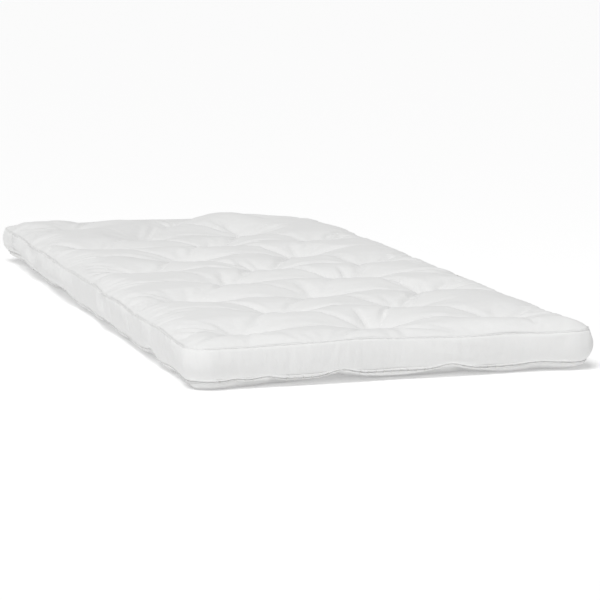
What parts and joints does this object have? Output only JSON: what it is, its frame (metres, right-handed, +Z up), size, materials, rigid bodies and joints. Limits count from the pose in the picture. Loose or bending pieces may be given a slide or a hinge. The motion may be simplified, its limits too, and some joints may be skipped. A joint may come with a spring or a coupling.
{
  "type": "futon mattress",
  "caption": "Tufted cotton futon mattress with a boxed border and raised seams, tied through with cords over layers of felt. It folds in half across its width.",
  "frame": {"origin": "middle of the underside, on the surface the mattress lies on", "axes": "+X across the width, +Y towards the head end, +Z up"},
  "size_m": [0.9, 2.0024, 0.115],
  "materials": {
    "cotton_drill": "unbleached white cotton drill, matte, softly creased",
    "seam_edge": "folded and sewn edge of the same cotton drill",
    "cotton_felt": "soft carded cotton felt",
    "tufting_cord": "twisted cotton cord",
    "label_tape": "plain woven tape"
  },
  "bodies": {
    "foot_half": {"top_panel_foot": "cotton_drill", "bottom_panel_foot": "cotton_drill", "border_foot_end": "cotton_drill", "border_left_foot": "cotton_drill", "border_right_foot": "cotton_drill", "top_seam_foot": "seam_edge", "bottom_seam_foot": "seam_edge", "border_joins_foot": "seam_edge", "tuft_cords_foot": "tufting_cord", "tuft_knots_foot": "tufting_cord", "closing_stitches": "tufting_cord", "felt_1_foot": "cotton_felt", "felt_2_foot": "cotton_felt", "felt_3_foot": "cotton_felt", "felt_4_foot": "cotton_felt", "felt_5_foot": "cotton_felt", "felt_6_foot": "cotton_felt"},
    "head_half": {"top_panel_head": "cotton_drill", "bottom_panel_head": "cotton_drill", "border_head_end": "cotton_drill", "border_left_head": "cotton_drill", "border_right_head": "cotton_drill", "top_seam_head": "seam_edge", "bottom_seam_head": "seam_edge", "border_joins_head": "seam_edge", "tuft_cords_head": "tufting_cord", "tuft_knots_head": "tufting_cord", "care_label": "label_tape", "felt_1_head": "cotton_felt", "felt_2_head": "cotton_felt", "felt_3_head": "cotton_felt", "felt_4_head": "cotton_felt", "felt_5_head": "cotton_felt", "felt_6_head": "cotton_felt"}
  },
  "joints": [
    {"name": "fold", "type": "hinge", "parent": "foot_half", "child": "head_half", "pos_m": [0, 0.014, 0.118], "axis": [1, 0, 0], "range_deg": [0, 180]}
  ]
}
